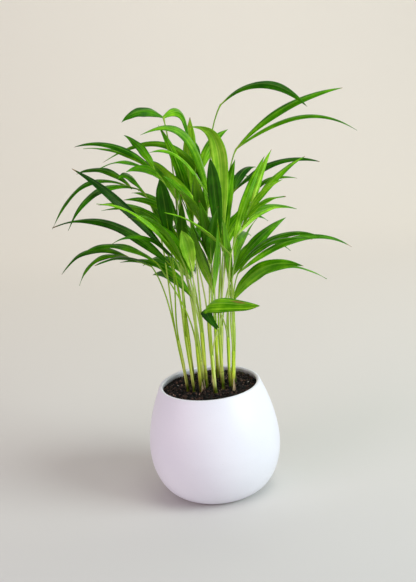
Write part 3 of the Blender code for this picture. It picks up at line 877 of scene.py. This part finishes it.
# ------------ pot and soil

def turned_profile(node):
    """The outline that a turned node was made from, as (radius, height), from the edge of its foot."""
    points, neighbours = welded(node)
    keys = [(round(math.hypot(point.x, point.y), 5), round(point.z, 5)) for point in points]
    linked = {}
    for index, near in enumerate(neighbours):
        for other in near:
            if keys[other] != keys[index]:
                linked.setdefault(keys[index], set()).add(keys[other])
    start = max((key for key in linked if key[1] < 1e-5), key=lambda key: key[0])
    outline = [start]
    while True:
        following = [key for key in linked[outline[-1]] if key not in outline]
        if not following:
            return outline
        outline.append(min(following, key=lambda key: math.dist(key, outline[-1])))


def slope(first, second, span):
    """The step that a curve takes over a span, from one point towards another."""
    reach = max(math.dist(first, second), 1e-6)
    return [(end - start) * span / reach for start, end in zip(first, second)]


def refined(outline, pieces):
    """A smooth curve through an outline's points, with more points between them."""
    fine = []
    for index in range(len(outline) - 1):
        before = outline[max(index - 1, 0)]
        start = outline[index]
        end = outline[index + 1]
        after = outline[min(index + 2, len(outline) - 1)]
        span = math.dist(start, end)
        leave = slope(before, end, span)
        arrive = slope(start, after, span)
        for step in range(pieces):
            t = step / pieces
            blend = (2 * t**3 - 3 * t**2 + 1, t**3 - 2 * t**2 + t, -2 * t**3 + 3 * t**2, t**3 - t**2)
            fine.append(tuple(sum(part * value for part, value in zip(blend, values))
                              for values in zip(start, leave, end, arrive)))
    fine.append(outline[-1])
    return fine


def round_axis(radius, turn, height):
    """A place at a distance from the pot's axis, a turn round it and a height."""
    return Vector((radius * math.cos(turn), radius * math.sin(turn), height))


def build_pot(material):
    """Turns the pot from its CAD outline, and returns its inner wall from the bottom up."""
    outline = refined(turned_profile("pot"), 5)
    top_row = max(range(len(outline)), key=lambda row: outline[row][1])
    skin = Skin("dirt", "bare")
    rings = []
    dirts = []
    bares = []
    soil_top = soil_height_at_edge()
    for row, (radius, height) in enumerate(outline):
        ring = []
        for side in range(POT_SIDES):
            turn = 2 * math.pi * side / POT_SIDES
            place = Vector((math.cos(turn), math.sin(turn), height * 12))
            wobble = 0.10 * MM * noise.noise(place * 1.3) * smoothstep(0.0, 0.01, height)
            ring.append(round_axis(radius + wobble, turn, height))
        rings.append(ring)
        inside = row > top_row
        near_soil = 1 - smoothstep(soil_top, soil_top + 1.8 * MM, height) if inside else 0.0
        dirts.extend([near_soil if inside else 0.10 * (1 - smoothstep(0.0, 0.006, height))] * POT_SIDES)
        bares.extend([1.0 - smoothstep(0.0, 0.0008, height) if not inside else 0.0] * POT_SIDES)
    skin.body(rings, dirt=dirts, bare=bares)
    piece = skin.object("fine_pot", [material])
    piece.data.set_sharp_from_angle(angle=math.radians(50))
    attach(piece, "root")
    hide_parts("pot")
    return outline[top_row + 1:][::-1]


def soil_height_at_edge():
    """The height of the soil at the pot's wall, from its CAD node: the top of its outermost side."""
    points, _ = welded("soil")
    top = max(point.z for point in points)
    upper = [point for point in points if point.z > top - 3 * MM]
    widest = max(math.hypot(point.x, point.y) for point in upper)
    return max(point.z for point in upper if math.hypot(point.x, point.y) > widest - 0.5 * MM)


def soil_surface(x, y, edge_height, edge_radius):
    """The height of the lumpy soil at a place: higher in the middle, lower where it meets the wall."""
    out = min(math.hypot(x, y) / edge_radius, 1.0)
    place = Vector((x, y, 0.0))
    lumps = 1.9 * MM * noise.noise(place * 130) + 1.4 * MM * noise.noise(place * 330)
    lumps += 0.8 * MM * noise.noise(place * 800)
    rise = 1.6 * MM * (1 - out * out)
    return edge_height + rise + lumps * (1 - 0.6 * out**8) - 0.8 * MM * smoothstep(0.93, 1.0, out)


def build_soil(inner_wall, earth, crumbs, bark, perlite, fibre):
    """The lumpy soil inside the pot's wall, and the loose matter on it."""
    edge_height = soil_height_at_edge()
    wall = [(radius - 0.35 * MM, height) for radius, height in inner_wall if height < edge_height - 1 * MM]
    radii, heights = zip(*inner_wall)
    edge_radius = np.interp(edge_height, heights, radii) - 0.35 * MM
    turns = [2 * math.pi * side / SOIL_SIDES for side in range(SOIL_SIDES)]
    rows = [[round_axis(radius, turn, height + 0.4 * MM) for turn in turns] for radius, height in wall]
    for step in range(SOIL_ROWS):
        radius = edge_radius * (1 - step / SOIL_ROWS) ** 0.9
        row = []
        for turn in turns:
            x = radius * math.cos(turn)
            y = radius * math.sin(turn)
            row.append(Vector((x, y, soil_surface(x, y, edge_height, edge_radius))))
        rows.append(row)
    skin = Skin("tone")
    skin.body(rows, tone=0.25)
    body = skin.object("soil_fill", [earth])
    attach(body, "root")
    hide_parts("soil")
    stems = []
    for node in nodes_of("stem_"):
        centres, _ = read_bar(node, STEM_CORNERS)
        stems.append((centres[1].x, centres[1].y))
    scatter("soil_crumbs", crumbs, 1500, (1.0, 3.8), (1.0, 0.85, 0.75), stems, edge_height, edge_radius, 31)
    scatter("soil_bark", bark, 420, (0.8, 3.0), (1.0, 0.5, 0.35), stems, edge_height, edge_radius, 32)
    scatter("soil_perlite", perlite, 36, (0.5, 1.6), (1.0, 0.9, 0.8), stems, edge_height, edge_radius, 33)
    build_fibres(fibre, edge_height, edge_radius)


def lump_shape():
    """The corners and faces of a rounded lump, for grains to be shaped from."""
    shape = bmesh.new()
    bmesh.ops.create_icosphere(shape, subdivisions=2, radius=1.0)
    corners = [vertex.co.copy() for vertex in shape.verts]
    faces = [tuple(vertex.index for vertex in face.verts) for face in shape.faces]
    shape.free()
    return corners, faces


def scatter(name, material, number, size_range, shape, stems, edge_height, edge_radius, seed):
    """Grains of one kind, half sunk in the soil, no two alike, kept off the stems and the wall."""
    chance = random.Random(seed)
    corners, faces = lump_shape()
    points = []
    all_faces = []
    tones = []
    placed = 0
    while placed < number:
        size = (size_range[0] + (size_range[1] - size_range[0]) * chance.random() ** 2.2) * MM / 2
        out = math.sqrt(chance.random()) * (edge_radius - size - 0.4 * MM)
        turn = chance.uniform(0, 2 * math.pi)
        x, y = out * math.cos(turn), out * math.sin(turn)
        if any(math.hypot(x - sx, y - sy) < 2.2 * MM + size for sx, sy in stems):
            continue
        spin = Matrix.Rotation(chance.uniform(0, 6.3), 3, Vector(
            (chance.uniform(-1, 1), chance.uniform(-1, 1), chance.uniform(-1, 1))).normalized())
        height = soil_surface(x, y, edge_height, edge_radius) + size * chance.uniform(-0.1, 0.5) * shape[2]
        grain = Vector((chance.uniform(0, 90), chance.uniform(0, 90), placed * 0.37))
        tone = chance.random()
        start = len(points)
        for corner in corners:
            bulge = 1 + 0.42 * noise.noise(corner * 1.3 + grain) + 0.16 * noise.noise(corner * 3.4 + grain)
            local = Vector((corner.x * shape[0], corner.y * shape[1], corner.z * shape[2])) * (size * bulge)
            points.append(spin @ local + Vector((x, y, height)))
            tones.append(tone)
        all_faces.extend(tuple(start + index for index in face) for face in faces)
        placed += 1
    mesh = bpy.data.meshes.new(name)
    mesh.from_pydata([tuple(point) for point in points], [], all_faces)
    mesh.materials.append(material)
    mesh.attributes.new("tone", "FLOAT", "POINT").data.foreach_set("value", tones)
    mesh.shade_smooth()
    mesh.set_sharp_from_angle(angle=math.radians(38))
    piece = placed_object(name, mesh)
    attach(piece, "root")


def build_fibres(material, edge_height, edge_radius):
    """Short root hairs and peat fibres that lie on the soil."""
    chance = random.Random(34)
    skin = Skin("tone")
    for _ in range(70):
        out = math.sqrt(chance.random()) * (edge_radius - 5 * MM)
        turn = chance.uniform(0, 2 * math.pi)
        place = Vector((out * math.cos(turn), out * math.sin(turn), 0))
        heading = chance.uniform(0, 2 * math.pi)
        bend = chance.uniform(-0.5, 0.5)
        places = []
        for _ in range(8):
            height = soil_surface(place.x, place.y, edge_height, edge_radius) + 0.35 * MM
            places.append(Vector((place.x, place.y, height)))
            place = place + Vector((math.cos(heading), math.sin(heading), 0)) * (0.8 * MM)
            heading += bend
        if any(math.hypot(spot.x, spot.y) > edge_radius - 1.0 * MM for spot in places):
            continue
        radius = chance.uniform(0.06, 0.14) * MM
        rings = tube_rings(places, [radius] * 7 + [radius * 0.4], FIBRE_SIDES)
        skin.body(rings, tone=chance.random())
    piece = skin.object("soil_fibres", [material])
    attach(piece, "root")


# ------------ the studio

def sweep_material():
    """Cream paint, a little greyer and darker on the floor than up the backdrop."""
    n = Nodes("studio_cream")
    mottle = n.noise(n.place(), 3.0, 3.0, 0.5)
    split = n.new("ShaderNodeSeparateXYZ")
    n.link(n.place(), split.inputs[0])
    depth = n.spread(split.outputs[1], -0.3, 1.1)
    wall = n.mix(mottle, rgb(0.87, 0.825, 0.74), rgb(0.88, 0.835, 0.75))
    colour = n.mix(depth, rgb(0.605, 0.60, 0.59), wall)
    return n.surface(colour, 0.9, Specular_IOR_Level=0.1)


def build_stage():
    """A pale floor that sweeps up into a backdrop in one curve."""
    front = -3.0
    bend_start = 0.9
    bend = 1.3
    bend_steps = 12
    top = 4.0
    width = 4.0
    profile = [(front, 0.0), (bend_start, 0.0)]
    for step in range(1, bend_steps + 1):
        turn = math.pi / 2 * step / bend_steps
        profile.append((bend_start + bend * math.sin(turn), bend * (1 - math.cos(turn))))
    profile.append((bend_start + bend, top))
    points = []
    for y, z in profile:
        points.extend([(-width, y, z), (width, y, z)])
    faces = [(2 * row, 2 * row + 1, 2 * row + 3, 2 * row + 2) for row in range(len(profile) - 1)]
    mesh = bpy.data.meshes.new("studio_sweep")
    mesh.from_pydata(points, [], faces)
    mesh.materials.append(sweep_material())
    mesh.shade_smooth()
    floor = placed_object("studio_sweep", mesh)


def add_light(name, place, target, size, power, colour):
    lamp = bpy.data.lights.new(name, "AREA")
    lamp.shape = "DISK"
    lamp.size = size
    lamp.energy = power
    lamp.color = colour
    light = placed_object(name, lamp)
    light.location = place
    light.rotation_euler = (Vector(target) - Vector(place)).to_track_quat("-Z", "Y").to_euler()


def build_lights():
    add_light("window", (1.50, -0.75, 0.85), (0, 0, 0.2), 1.1, 25.5, (0.87, 1.0, 1.0))
    add_light("fill", (-1.3, -1.0, 0.5), (0, 0, 0.2), 1.2, 10.2, (1.0, 0.76, 0.90))
    add_light("top", (0.4, -0.4, 1.5), (0, 0, 0.2), 0.7, 5, (1.0, 1.0, 0.95))
    add_light("wall", (0.2, 0.6, 2.2), (0, 2.2, 1.2), 1.6, 13.5, (1.0, 0.98, 0.95))
    world = bpy.data.worlds.new("studio_air")
    world.use_nodes = True
    world.node_tree.nodes["Background"].inputs[0].default_value = rgb(0.95, 0.94, 0.95)
    world.node_tree.nodes["Background"].inputs[1].default_value = 0.36
    bpy.context.scene.world = world


def build_camera():
    """One metre from the middle of the rim, looking down a little, and rolled as a camera held by hand."""
    pitch = math.radians(15.4)
    roll = math.radians(5.24)
    height_in_view = 0.582
    rim = Vector((0, 0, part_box("pot")[1].z))
    forward = Vector((0, math.cos(pitch), -math.sin(pitch)))
    level = Vector((1, 0, 0))
    upright = level.cross(forward)
    right = level * math.cos(roll) - upright * math.sin(roll)
    up = upright * math.cos(roll) + level * math.sin(roll)
    rim_right = 0.0015
    rim_down = 0.091
    place = rim - forward - right * rim_right + up * rim_down
    camera = bpy.data.cameras.new("camera")
    camera.sensor_fit = "VERTICAL"
    camera.sensor_height = 24.0
    camera.lens = camera.sensor_height / height_in_view
    camera.clip_start = 0.01
    piece = placed_object("camera", camera)
    turn = Matrix((right, up, -forward)).transposed().to_4x4()
    piece.matrix_world = Matrix.Translation(place) @ turn
    bpy.context.scene.camera = piece
    bpy.context.scene.view_settings.view_transform = "Standard"


def main():
    build_camera()
    build_lights()
    build_stage()
    leaf = leaf_material()
    stalk = stalk_material("leaf_stalk", (0.0, (0.36, 0.54, 0.02)), (0.5, (0.28, 0.50, 0.01)),
                           (1.0, (0.13, 0.34, 0.0)))
    # The stem's foot is brown, and near black at the soil line as painted shade where the crumbs pile round it
    stem = stalk_material("stem", (0.08, (0.010, 0.008, 0.002)), (0.19, (0.11, 0.10, 0.012)),
                          (0.34, (0.42, 0.46, 0.045)), (0.5, (0.68, 0.80, 0.075)), (1.0, (0.52, 0.72, 0.035)))
    inner_wall = build_pot(pot_material())
    build_soil(
        inner_wall,
        grain_material("earth", (0.0002, 0.0001, 0.0001), (0.010, 0.005, 0.003), 0.95, 500.0),
        grain_material("crumbs", (0.0004, 0.0002, 0.0001), (0.100, 0.048, 0.034), 0.80, 500.0),
        grain_material("bark", (0.008, 0.004, 0.003), (0.480, 0.280, 0.230), 0.60, 700.0),
        grain_material("perlite", (0.30, 0.25, 0.22), (0.78, 0.72, 0.70), 0.9, 900.0),
        grain_material("fibre", (0.015, 0.008, 0.005), (0.14, 0.09, 0.06), 0.9, 900.0),
    )
    stems = read_stems()
    dry = sheath_material()
    for node in stems:
        build_stem(node, stem, dry, stems[node])
    for node in nodes_of("frond_"):
        build_frond(node, leaf, stalk, stems)


main()
